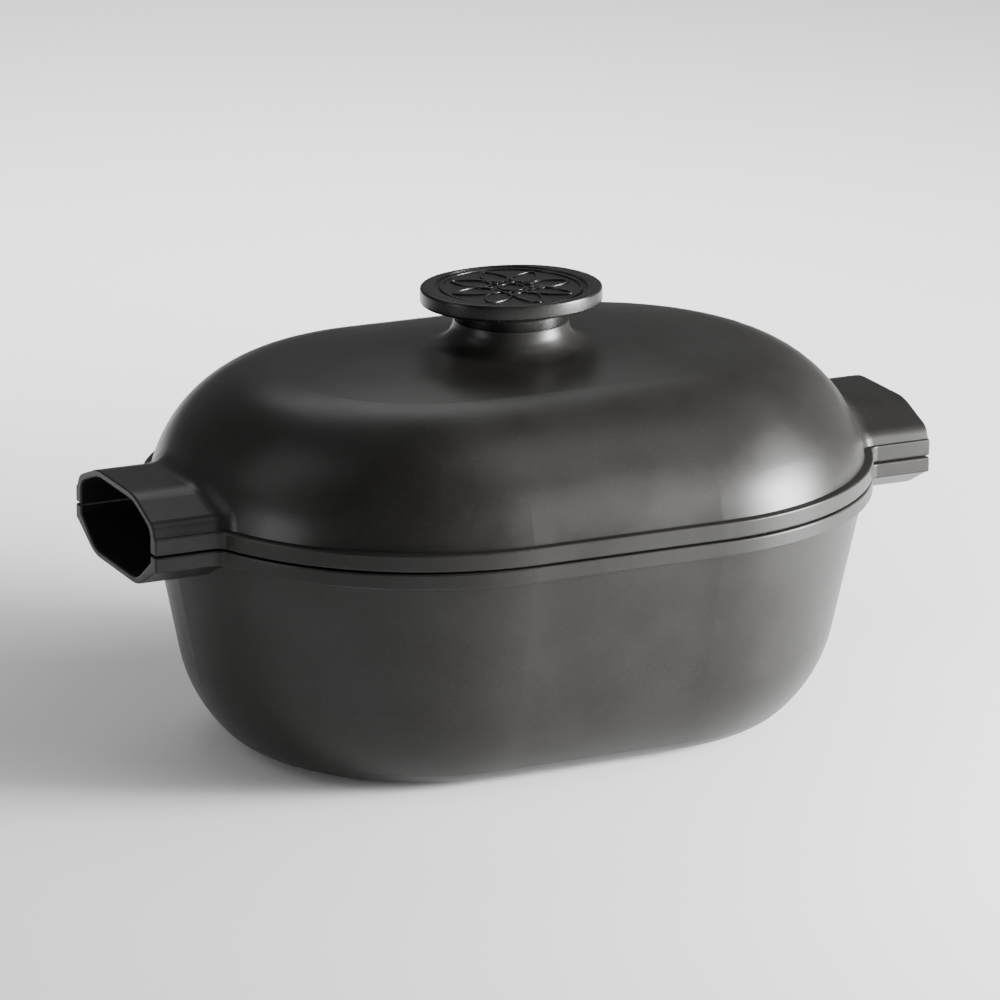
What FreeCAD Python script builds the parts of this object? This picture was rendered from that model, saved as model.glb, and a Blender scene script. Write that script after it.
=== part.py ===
"""Covered casserole dish: a stadium-shaped pot, a domed lid and a screwed-on knob.

The frame is +X along the handles, +Z up, with the origin under the middle of the foot.
Pot and lid have two planes of symmetry, so one quarter of each is modelled (x and y not
negative) and mirrored as a whole shape.  A quarter is a half section carried along the
straight side and then turned through 90 degrees round the end of the stadium.
Each handle is a tube: its lower half is a trough on the pot, its upper half an arch on
the lid.
"""
import FreeCAD, Part
import math
import os
import Sketcher

DIMENSIONS = [
    # plan, shared by pot and lid
    ("overall_length", 340.0, "from one handle's end face to the other"),
    ("rim_width", 220.0, "across the rim bands"),
    ("straight_run", 81.0, "length of the straight sides"),
    ("band_step", 3.6, "how far a rim band stands out from the wall"),
    # pot
    ("pot_height", 100.1, "top of the pot's rim"),
    ("pot_band", 6.3, "height of the pot's rim band"),
    ("wall_draft", 11.4, "slope of the pot's wall, in degrees"),
    ("wall_foot", 37.5, "height where the straight wall ends"),
    ("flank_radius", 58.0, "large radius below the straight wall"),
    ("heel_radius", 22.0, "radius where the flank turns under"),
    ("foot_lift", 1.5, "height of the foot ring"),
    ("foot_inset", 1.0, "foot ring inside the end of the heel"),
    ("foot_land", 9.0, "width of the foot ring"),
    ("base_recess", 1.1, "underside inside the foot ring"),
    ("pot_rim", 10.7, "width of the pot's rim"),
    ("floor_height", 8.0, "inside floor above the table"),
    ("floor_radius", 28.0, "inside radius between wall and floor"),
    # lid
    ("rim_gap", 0.7, "visible gap between the two bands"),
    ("seat_width", 5.0, "outer part of the lid's band that shows the gap"),
    ("lid_band", 6.9, "height of the lid's band"),
    ("dome_height", 50.0, "crown above the lid's band"),
    ("shoulder_radius", 57.0, "radius of the dome's shoulder"),
    ("crown_radius", 380.0, "radius of the nearly flat crown"),
    ("lid_wall", 6.8, "thickness of the dome"),
    ("lip_depth", 6.0, "locating lip below the seat"),
    ("lip_inset", 12.8, "outside of the lip, inward from the rim"),
    ("lip_wall", 4.0, "thickness of the lip"),
    # handles
    ("handle_width", 81.6, "across a handle's side bands"),
    ("handle_root", 60.0, "length of a handle's solid, into the body"),
    ("side_band", 5.3, "thickness of a handle's side band"),
    ("side_step", 1.2, "side band stands out from arch and trough"),
    ("side_upright", 3.0, "upright inner face of a side band"),
    ("arch_rise", 19.9, "top of the arch above the pot's rim"),
    ("arch_wall", 2.9, "thickness of the arch"),
    ("arch_crown", 18.5, "half width of the arch's flat top, to the sharp corner"),
    ("arch_shoulder", 25.0, "radius between the arch's top and its slope"),
    ("arch_side", 37.5, "half width at the foot of the arch's slope"),
    ("arch_side_rise", 12.4, "foot of the arch's slope above the pot's rim"),
    ("arch_bend", 6.0, "radius between the arch's slope and its steep side"),
    ("hollow_bend", 6.0, "the same corner's radius inside the arch"),
    ("trough_drop", 16.2, "underside of the trough below the pot's rim"),
    ("trough_wall", 2.6, "thickness of the trough"),
    ("trough_keel", 22.0, "half width of the trough's flat bottom, to the sharp corner"),
    ("trough_radius", 20.0, "radius between the trough's bottom and side"),
    ("root_radius", 8.0, "hollow radius where the arch grows out of the dome"),
    ("mouth_round", 1.5, "rounding of the pot's inner rim"),
    ("crotch_radius", 4.5, "hollow radius between side band and rim band, in plan"),
    ("edge_round", 0.8, "small rounding of exposed edges"),
    # boss and knob
    ("boss_lift", 9.3, "boss that carries the knob, above the crown"),
    ("boss_flare", 10.0, "concave flare from the crown up into the boss"),
    ("spot_radius", 11.0, "flat spot inside the crown, for the gasket"),
    ("spot_drop", 0.8, "flat spot below the inner crown"),
    ("screw_hole", 6.0, "diameter of the hole through the lid"),
    ("knob_length", 73.8, "length of the disc"),
    ("knob_width", 63.6, "width of the disc"),
    ("knob_end", 30.5, "radius of the disc's ends"),
    ("knob_top", 180.5, "top of the disc"),
    ("disc_height", 6.5, "thickness of the disc"),
    ("neck_radius", 22.8, "radius of the neck and of the boss under it"),
    ("neck_fillet", 3.0, "concave radius under the disc"),
    ("disc_round", 1.2, "rounding of the disc's edges"),
    ("dish_radius", 30.2, "shallow round recess in the disc"),
    ("dish_depth", 1.1, "depth of that recess"),
    ("insert_radius", 4.5, "outside of the threaded insert"),
    ("insert_length", 8.0, "length of the threaded insert"),
    ("screw_radius", 2.5, "M5 shank"),
    ("screw_grip", 6.5, "length of thread in the insert"),
    ("head_radius", 4.75, "M5 pan head"),
    ("head_height", 3.2, "height of the head"),
    ("head_round", 1.8, "rounding of the head"),
    ("clear_radius", 2.75, "hole in the washer and the gasket"),
    ("socket_radius", 1.7, "recess in the head for the driver"),
    ("socket_depth", 1.9, "depth of that recess"),
    ("washer_radius", 7.5, "outside of the washer"),
    ("washer_height", 1.2, "thickness of the washer"),
    ("gasket_radius", 9.0, "outside of the gasket"),
    ("gasket_height", 1.6, "thickness of the gasket"),
]

# Heights and radii that several pieces share, written on the dimensions.
END_RADIUS = "dims.rim_width / 2"
WALL_RADIUS = "(dims.rim_width / 2 - dims.band_step)"
HALF_RUN = "dims.straight_run / 2"
BAND_FOOT = "(dims.pot_height - dims.pot_band)"
LID_FOOT = "(dims.pot_height + dims.rim_gap)"
LID_BAND_TOP = "(dims.pot_height + dims.rim_gap + dims.lid_band)"
CROWN_TOP = "(dims.pot_height + dims.rim_gap + dims.lid_band + dims.dome_height)"
INNER_CROWN = f"({CROWN_TOP} - dims.lid_wall)"
BOSS_TOP = f"({CROWN_TOP} + dims.boss_lift)"
SPOT_HEIGHT = f"({INNER_CROWN} - dims.spot_drop)"
GASKET_FOOT = f"({SPOT_HEIGHT} - dims.gasket_height)"
WASHER_FOOT = f"({GASKET_FOOT} - dims.washer_height)"
HANDLE_HALF = "dims.handle_width / 2"
SIDE_INSIDE = "(dims.handle_width / 2 - dims.side_band)"
SIDE_SHELF = "(dims.handle_width / 2 - dims.side_step)"
ARCH_TOP = "(dims.pot_height + dims.arch_rise)"
ARCH_SIDE_HEIGHT = "(dims.pot_height + dims.arch_side_rise)"
TROUGH_BOTTOM = "(dims.pot_height - dims.trough_drop)"

# The corners inside an arch or trough lie this share of the wall from the outer ones,
# across and in height, so that both of a corner's sides keep about the wall's thickness.
CROWN_CORNER = (0.23, 1.0)
SIDE_CORNER = (0.61, 0.82)
KEEL_CORNER = (0.26, 1.0)

doc = FreeCAD.newDocument("casserole")
sheet = doc.addObject("Spreadsheet::Sheet", "dims")


def fill_sheet():
    """Put each driving dimension in a row: its name, its value and what it is."""
    for row, (alias, size, meaning) in enumerate(DIMENSIONS, start=1):
        sheet.set(f"A{row}", alias)
        sheet.set(f"B{row}", str(size))
        sheet.set(f"C{row}", meaning)
        sheet.setAlias(f"B{row}", alias)
    doc.recompute()


def value(expression):
    """What an expression on the sheet is worth now, as a plain number."""
    result = sheet.evalExpression(expression)
    return float(getattr(result, "Value", result))


def vector(x, y):
    """A point of a sketch's plane."""
    return FreeCAD.Vector(x, y, 0)


# ---------------------------------------------------------------- sketches

def origin_plane(body, role):
    """One of a body's own origin planes, such as YZ_Plane."""
    return next(item for item in body.Origin.OriginFeatures if item.Role == role)


def new_sketch(body, name, role, offset="0"):
    """A sketch on an origin plane, moved along the plane's normal by an expression."""
    sketch = body.newObject("Sketcher::SketchObject", name)
    sketch.AttachmentSupport = [(origin_plane(body, role), "")]
    sketch.MapMode = "FlatFace"
    if offset != "0":
        sketch.setExpression(".AttachmentOffset.Base.z", offset)
    doc.recompute()
    return sketch


def bind(sketch, kind, *where, size):
    """Add a dimension to a sketch and bind it to an expression."""
    index = sketch.addConstraint(Sketcher.Constraint(kind, *where, value(size)))
    sketch.setExpression(f"Constraints[{index}]", size)


def pin(sketch, item, end, x, y):
    """Fix one end of a line or arc at a place given by two expressions."""
    for axis, kind, size in ((-2, "DistanceX", x), (-1, "DistanceY", y)):
        if size == "0":
            sketch.addConstraint(Sketcher.Constraint("PointOnObject", item, end, axis))
        else:
            bind(sketch, kind, -1, 1, item, end, size=size)


def draw_line(sketch, start, end):
    """Add a line between two numeric points and return its number."""
    return sketch.addGeometry(Part.LineSegment(vector(*start), vector(*end)), False)


def draw_arc(sketch, centre, radius, first, last):
    """Add a counter-clockwise arc from one angle to another, in degrees."""
    circle = Part.Circle(vector(*centre), FreeCAD.Vector(0, 0, 1), radius)
    arc = Part.ArcOfCircle(circle, math.radians(first), math.radians(last))
    return sketch.addGeometry(arc, False)


def join(sketch, item, item_end, other, other_end, kind="Coincident"):
    """Join two ends; kind Tangent also makes the outline smooth there."""
    sketch.addConstraint(Sketcher.Constraint(kind, item, item_end, other, other_end))


def draw_chain(sketch, corners, first=None, last=None):
    """Draw lines through corners given as pairs of expressions.

    Every corner is pinned, except the first or last one where first or last is given:
    there the chain is joined to that end (item, end) of an item already in the sketch.
    """
    places = [(value(x), value(y)) for x, y in corners]
    items = [draw_line(sketch, *pair) for pair in zip(places, places[1:])]
    for item, following in zip(items, items[1:]):
        join(sketch, item, 2, following, 1)
    if first:
        join(sketch, items[0], 1, *first)
    else:
        pin(sketch, items[0], 1, *corners[0])
    for item, corner in zip(items, corners[1:-1]):
        pin(sketch, item, 2, *corner)
    if last:
        join(sketch, items[-1], 2, *last)
    else:
        pin(sketch, items[-1], 2, *corners[-1])
    return items


def draw_loop(sketch, corners):
    """Draw a closed outline of lines, with every corner pinned."""
    items = draw_chain(sketch, corners + corners[:1])
    return items


# ---------------------------------------------------------------- features

def cut_check(feature, before):
    """Stop if a cutting feature has not taken anything away."""
    doc.recompute()
    if feature.Shape.Volume > before - 1.0:
        raise RuntimeError(feature.Name + " cuts nothing")


def carry_straight(body, name, sketch, cut=False):
    """Carry a half section along half of the straight side, from x = 0 outward."""
    before = body.Shape.Volume if cut else 0.0
    feature = body.newObject("PartDesign::Pocket" if cut else "PartDesign::Pad", name)
    feature.Profile = sketch
    feature.Reversed = cut
    feature.setExpression("Length", HALF_RUN)
    if cut:
        cut_check(feature, before)
    doc.recompute()
    return feature


def carry_round(body, name, sketch, cut=False):
    """Turn a half section through 90 degrees about the axis of the stadium's end."""
    before = body.Shape.Volume if cut else 0.0
    feature = body.newObject("PartDesign::Groove" if cut else "PartDesign::Revolution", name)
    feature.Profile = sketch
    feature.ReferenceAxis = (sketch, ["V_Axis"])
    feature.Angle = 90
    feature.Reversed = True
    if cut:
        cut_check(feature, before)
    doc.recompute()
    return feature


def mirror_all(body, name, role):
    """Mirror everything modelled so far across one of the body's origin planes."""
    feature = body.newObject("PartDesign::Mirrored", name)
    feature.TransformMode = "Whole shape"
    feature.MirrorPlane = (origin_plane(body, role), [""])
    body.Tip = feature
    doc.recompute()
    return feature


def round_edges(body, name, radius, chosen):
    """Fillet those edges of the body's last feature that a test picks out."""
    base = body.Tip
    names = [f"Edge{n}" for n, edge in enumerate(base.Shape.Edges, start=1) if chosen(edge)]
    if not names:
        raise RuntimeError(name + " finds no edge")
    feature = body.newObject("PartDesign::Fillet", name)
    feature.Base = (base, names)
    feature.setExpression("Radius", radius)
    doc.recompute()
    return feature


def along_x(edge, y, z):
    """True for a straight edge parallel to X through (y, z)."""
    points = [vertex.Point for vertex in edge.Vertexes]
    return len(points) == 2 and all(
        math.isclose(point.y, y, abs_tol=0.01) and math.isclose(point.z, z, abs_tol=0.01)
        for point in points)


def at_height(edge, z):
    """True for an edge that lies at one height."""
    box = edge.BoundBox
    return abs(box.ZMin - z) < 0.01 and abs(box.ZMax - z) < 0.01


def middle_of(edge):
    """The point half way along an edge's parameter."""
    return edge.valueAt((edge.FirstParameter + edge.LastParameter) / 2)


def distance_from_centre_line(point):
    """Distance in plan from the line between the centres of the stadium's ends."""
    beyond = max(abs(point.x) - value(HALF_RUN), 0.0)
    return math.hypot(beyond, point.y)


def on_stadium(edge, radius, z):
    """True for an edge at one height that follows the stadium of one radius."""
    return at_height(edge, z) and abs(distance_from_centre_line(middle_of(edge)) - radius) < 0.02


def is_crotch(edge):
    """True for the upright edge where a side band leaves the rim band."""
    box = edge.BoundBox
    side = value(HANDLE_HALF)
    upright = box.XLength < 0.01 and box.YLength < 0.01
    return upright and abs(box.YMin - side) < 0.01 and box.XMin < value("dims.overall_length / 2") - 1


def follows_band(edge, z):
    """True for the edges of the bands' outer faces at one height, hollow corner included."""
    if not at_height(edge, z):
        return False
    middle = middle_of(edge)
    side = value(HANDLE_HALF)
    end = value(END_RADIUS)
    reach = distance_from_centre_line(middle)
    on_rim = abs(reach - end) < 0.02 and middle.y > side
    on_side = abs(middle.y - side) < 0.01
    corner = end < reach + 0.01 and side < middle.y < side + value("dims.crotch_radius")
    return on_rim or on_side or (corner and middle.x > value(HALF_RUN))


def on_end_face(edge):
    """True for the outline of a handle's end face, without the cut at y = 0."""
    box = edge.BoundBox
    return box.XMin > value("dims.overall_length / 2") - 0.01 and box.YMax > 0.01


def add_disc(body, name, radius, bottom, top):
    """Add a round disc about the Z axis between two heights."""
    sketch = new_sketch(body, name + "_outline", "XY_Plane", bottom)
    draw_circle(sketch, radius)
    return pad_up(body, name, sketch, f"{top} - {bottom}")


def cut_disc(body, name, radius, bottom, top):
    """Cut a round hole about the Z axis between two heights."""
    before = body.Shape.Volume
    sketch = new_sketch(body, name + "_outline", "XY_Plane", bottom)
    draw_circle(sketch, radius)
    feature = body.newObject("PartDesign::Pocket", name)
    feature.Profile = sketch
    feature.Reversed = True
    feature.setExpression("Length", f"{top} - {bottom}")
    cut_check(feature, before)
    return feature


def draw_circle(sketch, radius):
    """Add a circle about the sketch's origin, with its radius bound."""
    circle = Part.Circle(vector(0, 0), FreeCAD.Vector(0, 0, 1), value(radius))
    item = sketch.addGeometry(circle, False)
    join(sketch, item, 3, -1, 1)
    bind(sketch, "Radius", item, size=radius)
    return item


def pad_up(body, name, sketch, height):
    """Pad a sketch upward by an expression."""
    feature = body.newObject("PartDesign::Pad", name)
    feature.Profile = sketch
    feature.setExpression("Length", height)
    doc.recompute()
    return feature


# ---------------------------------------------------------------- pot

def pot_outside(sketch):
    """Half section of the pot's outside: foot ring, heel, flank, wall and rim band."""
    draft = math.radians(value("dims.wall_draft"))
    wall_end = ("{} - ({} - dims.wall_foot) * tan(dims.wall_draft)".format(WALL_RADIUS, BAND_FOOT),
                "dims.wall_foot")
    flank = value("dims.flank_radius")
    heel = value("dims.heel_radius")
    flank_x = value(wall_end[0]) - flank * math.cos(draft)
    flank_z = value(wall_end[1]) + flank * math.sin(draft)
    heel_z = value("dims.foot_lift + dims.heel_radius")
    heel_x = flank_x + math.sqrt((flank - heel) ** 2 - (flank_z - heel_z) ** 2)
    handover = math.degrees(math.atan2(heel_z - flank_z, heel_x - flank_x))

    rim = draw_chain(sketch, [
        wall_end,
        (WALL_RADIUS, BAND_FOOT),
        (END_RADIUS, BAND_FOOT),
        (END_RADIUS, "dims.pot_height"),
        ("0", "dims.pot_height"),
        ("0", "dims.base_recess")])
    flank_arc = draw_arc(sketch, (flank_x, flank_z), flank, handover, -math.degrees(draft))
    heel_arc = draw_arc(sketch, (heel_x, heel_z), heel, -90, handover)
    join(sketch, flank_arc, 2, rim[0], 1, "Tangent")
    join(sketch, heel_arc, 2, flank_arc, 1, "Tangent")
    bind(sketch, "Radius", flank_arc, size="dims.flank_radius")
    bind(sketch, "Radius", heel_arc, size="dims.heel_radius")

    base_z = value("dims.foot_lift")
    foot = value("dims.foot_inset")
    land = value("dims.foot_land")
    recess = value("dims.base_recess")
    ledge = draw_line(sketch, (heel_x, base_z), (heel_x - foot, base_z))
    side = draw_line(sketch, (heel_x - foot, base_z), (heel_x - foot, 0))
    sole = draw_line(sketch, (heel_x - foot, 0), (heel_x - foot - land, 0))
    inside = draw_line(sketch, (heel_x - foot - land, 0), (heel_x - foot - land, recess))
    base = draw_line(sketch, (heel_x - foot - land, recess), (0, recess))
    join(sketch, heel_arc, 1, ledge, 1, "Tangent")
    for item, following in ((ledge, side), (side, sole), (sole, inside), (inside, base)):
        join(sketch, item, 2, following, 1)
    join(sketch, base, 2, rim[-1], 2)
    for item in (ledge, base):
        sketch.addConstraint(Sketcher.Constraint("Horizontal", item))
    for item in (side, inside):
        sketch.addConstraint(Sketcher.Constraint("Vertical", item))
    bind(sketch, "DistanceY", -1, 1, ledge, 1, size="dims.foot_lift")
    sketch.addConstraint(Sketcher.Constraint("PointOnObject", sole, 1, -1))
    sketch.addConstraint(Sketcher.Constraint("PointOnObject", sole, 2, -1))
    bind(sketch, "DistanceX", ledge, 2, ledge, 1, size="dims.foot_inset")
    bind(sketch, "DistanceX", sole, 2, sole, 1, size="dims.foot_land")


def pot_inside(sketch):
    """Half section of the cavity: floor, rounded corner and sloping wall."""
    mouth = "(dims.rim_width / 2 - dims.pot_rim)"
    slope = "tan(dims.wall_draft)"
    above = "(dims.pot_height + dims.floor_height)"
    draft = math.radians(value("dims.wall_draft"))
    corner = value("dims.floor_radius")
    floor_z = value("dims.floor_height")
    # the sloping wall's inner line, moved in by the radius, gives the arc's centre
    wall_x = value(f"{mouth} - (dims.pot_height - dims.floor_height) * {slope}")
    centre = (wall_x - corner * (1 - math.sin(draft)) / math.cos(draft), floor_z + corner)
    touch = (centre[0] + corner * math.cos(draft), centre[1] - corner * math.sin(draft))

    top = (f"{mouth} + dims.floor_height * {slope}", above)
    lines = draw_chain(sketch, [top, ("0", above), ("0", "dims.floor_height")])
    wall = draw_line(sketch, touch, (value(top[0]), value(top[1])))
    floor = draw_line(sketch, (0, floor_z), (centre[0], floor_z))
    arc = draw_arc(sketch, centre, corner, -90, -math.degrees(draft))
    join(sketch, wall, 2, lines[0], 1)
    join(sketch, floor, 1, lines[-1], 2)
    join(sketch, floor, 2, arc, 1, "Tangent")
    join(sketch, arc, 2, wall, 1, "Tangent")
    sketch.addConstraint(Sketcher.Constraint("Horizontal", floor))
    bind(sketch, "Radius", arc, size="dims.floor_radius")
    bind(sketch, "Angle", wall, size="90 - dims.wall_draft")


def inner_corner(corner, wall, share, side):
    """The corner inside a wall, from the outer corner; side is +1 under an arch."""
    across, down = share
    sign = "-" if side > 0 else "+"
    return f"({corner[0]} - {wall} * {across})", f"({corner[1]} {sign} {wall} * {down})"


def handle_section(sketch, band_edge, band_end, corners, shares, wall, side):
    """Half section of an arch or a trough: side band, step, slopes and flat crown.

    band_edge is the height of the seam's side and band_end the band's other edge.  The
    corners are the outer ones from the band inward, each with the share that places its
    inner corner.  side is +1 for the arch, which rises, and -1 for the trough.
    """
    sign = "+" if side > 0 else "-"
    inside = [inner_corner(corner, wall, share, side) for corner, share in zip(corners, shares)]
    draw_loop(sketch, [
        (SIDE_INSIDE, band_edge),
        (HANDLE_HALF, band_edge),
        (HANDLE_HALF, band_end),
        (SIDE_SHELF, band_end),
        *corners,
        ("0", corners[-1][1]),
        ("0", inside[-1][1]),
        *reversed(inside),
        (SIDE_INSIDE, f"({band_edge} {sign} dims.side_upright)")])
    return inside


def round_along_x(body, name, radius, corner):
    """Round the handle's edge that runs along X through a corner given by expressions."""
    y, z = value(corner[0]), value(corner[1])
    return round_edges(body, name, radius, lambda edge: along_x(edge, y, z))


def make_pot():
    """The dish: outside, two troughs, cavity, and rounded edges."""
    body = doc.addObject("PartDesign::Body", "pot")
    mid = new_sketch(body, "pot_side_section", "YZ_Plane")
    pot_outside(mid)
    carry_straight(body, "pot_side", mid)
    end = new_sketch(body, "pot_end_section", "YZ_Plane", HALF_RUN)
    pot_outside(end)
    carry_round(body, "pot_end", end)

    section = new_sketch(body, "trough_section", "YZ_Plane", "dims.overall_length / 2")
    keel = ("dims.trough_keel", TROUGH_BOTTOM)
    inside = handle_section(section, "dims.pot_height", BAND_FOOT, [keel], [KEEL_CORNER],
                            "dims.trough_wall", -1)
    trough = body.newObject("PartDesign::Pad", "trough")
    trough.Profile = section
    trough.Reversed = True
    trough.setExpression("Length", "dims.handle_root")
    doc.recompute()

    cavity_mid = new_sketch(body, "cavity_side_section", "YZ_Plane")
    pot_inside(cavity_mid)
    carry_straight(body, "cavity_side", cavity_mid, cut=True)
    cavity_end = new_sketch(body, "cavity_end_section", "YZ_Plane", HALF_RUN)
    pot_inside(cavity_end)
    carry_round(body, "cavity_end", cavity_end, cut=True)

    round_along_x(body, "trough_rounding", "dims.trough_radius", keel)
    round_along_x(body, "trough_hollow", "dims.trough_radius - dims.trough_wall", inside[0])
    round_edges(body, "trough_crotch", "dims.crotch_radius", is_crotch)
    rim, foot = value("dims.pot_height"), value(BAND_FOOT)
    mouth = value("dims.rim_width / 2 - dims.pot_rim")
    round_edges(body, "mouth_rounding", "dims.mouth_round",
                lambda edge: on_stadium(edge, mouth, rim))
    round_edges(body, "rim_rounding", "dims.edge_round", lambda edge: follows_band(edge, rim))
    round_edges(body, "band_rounding", "dims.edge_round", lambda edge: follows_band(edge, foot))
    round_edges(body, "end_rounding", "dims.edge_round", on_end_face)
    mirror_all(body, "pot_front_and_back", "XZ_Plane")
    mirror_all(body, "pot_both_ends", "YZ_Plane")
    return body


# ---------------------------------------------------------------- lid

def lid_outside(sketch):
    """Half section of the lid's outside: lip, seat, band and dome."""
    lip = "(dims.rim_width / 2 - dims.lip_inset)"
    seat = "(dims.rim_width / 2 - dims.seat_width)"
    lip_foot = "(dims.pot_height - dims.lip_depth)"
    band = draw_chain(sketch, [
        ("0", lip_foot),
        (lip, lip_foot),
        (lip, "dims.pot_height"),
        (seat, "dims.pot_height"),
        (seat, LID_FOOT),
        (END_RADIUS, LID_FOOT),
        (END_RADIUS, LID_BAND_TOP),
        (WALL_RADIUS, LID_BAND_TOP)])
    draw_dome(sketch, band[-1], band[0], WALL_RADIUS, LID_BAND_TOP, CROWN_TOP, "0")


def lid_inside(sketch):
    """Half section of the lid's hollow: inside of the lip, then the dome's inner face."""
    lip = "(dims.rim_width / 2 - dims.lip_inset - dims.lip_wall)"
    below = "(dims.pot_height - dims.lip_depth * 2)"
    foot = draw_chain(sketch, [
        ("0", below),
        (lip, below),
        (lip, LID_FOOT),
        (f"({WALL_RADIUS} - dims.lid_wall)", LID_BAND_TOP)])
    draw_dome(sketch, foot[-1], foot[0], f"({WALL_RADIUS} - dims.lid_wall)", LID_BAND_TOP,
              INNER_CROWN, "dims.lid_wall")


def draw_dome(sketch, foot, axis_foot, radius, foot_height, top, inset):
    """Close a section with a shoulder arc, a crown arc and the axis.

    The crown's centre lies on the axis, and the shoulder arc starts at the end of the
    line foot and runs smoothly into the crown.
    """
    shoulder_radius = f"(dims.shoulder_radius - {inset})"
    crown_radius = f"(dims.crown_radius - {inset})"
    foot_x, foot_z, top_z = value(radius), value(foot_height), value(top)
    small, large = value(shoulder_radius), value(crown_radius)
    crown_z = top_z - large
    # the shoulder's centre is small from the foot and large - small from the crown's centre
    span = math.hypot(foot_x, foot_z - crown_z)
    along = ((large - small) ** 2 - small ** 2 + span ** 2) / (2 * span)
    across = math.sqrt((large - small) ** 2 - along ** 2)
    unit_x, unit_z = foot_x / span, (foot_z - crown_z) / span
    centre = (along * unit_x - across * unit_z, crown_z + along * unit_z + across * unit_x)
    handover = math.degrees(math.atan2(centre[1] - crown_z, centre[0]))
    start = math.degrees(math.atan2(foot_z - centre[1], foot_x - centre[0]))

    shoulder = draw_arc(sketch, centre, small, start, handover)
    crown = draw_arc(sketch, (0, crown_z), large, handover, 90)
    axis = draw_line(sketch, (0, top_z), (0, top_z - 1))
    join(sketch, foot, 2, shoulder, 1)
    join(sketch, shoulder, 2, crown, 1, "Tangent")
    join(sketch, crown, 2, axis, 1)
    join(sketch, axis, 2, axis_foot, 1)
    bind(sketch, "Radius", shoulder, size=shoulder_radius)
    bind(sketch, "Radius", crown, size=crown_radius)
    pin(sketch, crown, 2, "0", top)
    sketch.addConstraint(Sketcher.Constraint("PointOnObject", crown, 3, -2))


def is_boss_foot(edge):
    """True for the edge where the boss rises from the crown, a little below its top."""
    box = edge.BoundBox
    middle = middle_of(edge)
    radius, crown = value("dims.neck_radius"), value(CROWN_TOP)
    on_boss = abs(math.hypot(middle.x, middle.y) - radius) < 0.02
    near_crown = box.ZMax < crown + 0.1 and box.ZMin > crown - 2 and box.XLength > 1
    return on_boss and near_crown


def depth_under_arch(point):
    """How far a point lies below the arch's outline, its corners taken as sharp."""
    corners = [("0", ARCH_TOP), ("dims.arch_crown", ARCH_TOP),
               ("dims.arch_side", ARCH_SIDE_HEIGHT), (SIDE_SHELF, LID_BAND_TOP)]
    outline = [(value(across), value(height)) for across, height in corners]
    for (near, high), (far, low) in zip(outline, outline[1:]):
        if point.y <= far:
            return high + (low - high) * (point.y - near) / (far - near) - point.z
    return math.inf


def is_arch_root(edge):
    """True for the outer edges where the arch meets the dome.

    They rise from the band's top between the handle's root and its end face, less than
    half a wall below the arch's outline.
    """
    box = edge.BoundBox
    end = value("dims.overall_length / 2")
    root = end - value("dims.handle_root")
    beside_dome = root < box.XMin and box.XMax < end - 1 and box.YMax > 0.1
    band_top = value(LID_BAND_TOP)
    above_band = box.ZMin > band_top - 0.01 and box.ZMax > band_top + 0.1
    across = abs(box.YMax - box.YMin) > 0.1
    near_outline = abs(depth_under_arch(middle_of(edge))) < value("dims.arch_wall / 2")
    return beside_dome and above_band and across and near_outline


def make_lid():
    """The cover: dome, two arches, hollow, boss for the knob and the screw's hole."""
    body = doc.addObject("PartDesign::Body", "lid")
    mid = new_sketch(body, "lid_side_section", "YZ_Plane")
    lid_outside(mid)
    carry_straight(body, "lid_side", mid)
    end = new_sketch(body, "lid_end_section", "YZ_Plane", HALF_RUN)
    lid_outside(end)
    carry_round(body, "lid_end", end)

    section = new_sketch(body, "arch_section", "YZ_Plane", "dims.overall_length / 2")
    side = ("dims.arch_side", ARCH_SIDE_HEIGHT)
    crown = ("dims.arch_crown", ARCH_TOP)
    inside = handle_section(section, LID_FOOT, LID_BAND_TOP, [side, crown],
                            [SIDE_CORNER, CROWN_CORNER], "dims.arch_wall", 1)
    arch = body.newObject("PartDesign::Pad", "arch")
    arch.Profile = section
    arch.Reversed = True
    arch.setExpression("Length", "dims.handle_root")
    doc.recompute()
    round_along_x(body, "arch_shoulder", "dims.arch_shoulder", crown)
    round_along_x(body, "arch_bend", "dims.arch_bend", side)
    round_along_x(body, "hollow_bend", "dims.hollow_bend", inside[0])
    round_along_x(body, "hollow_shoulder", "dims.arch_shoulder - dims.arch_wall", inside[1])
    round_edges(body, "arch_root", "dims.root_radius", is_arch_root)

    hollow_mid = new_sketch(body, "hollow_side_section", "YZ_Plane")
    lid_inside(hollow_mid)
    carry_straight(body, "hollow_side", hollow_mid, cut=True)
    hollow_end = new_sketch(body, "hollow_end_section", "YZ_Plane", HALF_RUN)
    lid_inside(hollow_end)
    carry_round(body, "hollow_end", hollow_end, cut=True)

    band_foot, band_top = value(LID_FOOT), value(LID_BAND_TOP)
    round_edges(body, "arch_crotch", "dims.crotch_radius", is_crotch)
    round_edges(body, "lid_rim_rounding", "dims.edge_round",
                lambda edge: follows_band(edge, band_foot))
    round_edges(body, "lid_band_rounding", "dims.edge_round",
                lambda edge: follows_band(edge, band_top))
    round_edges(body, "lid_end_rounding", "dims.edge_round", on_end_face)
    mirror_all(body, "lid_front_and_back", "XZ_Plane")
    mirror_all(body, "lid_both_ends", "YZ_Plane")
    add_disc(body, "boss", "dims.neck_radius", INNER_CROWN, BOSS_TOP)
    round_edges(body, "boss_flare", "dims.boss_flare", is_boss_foot)
    add_disc(body, "gasket_spot", "dims.spot_radius", SPOT_HEIGHT, CROWN_TOP)
    cut_disc(body, "screw_passage", "dims.screw_hole / 2", SPOT_HEIGHT, BOSS_TOP)
    return body



# ---------------------------------------------------------------- knob and its fixing

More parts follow.
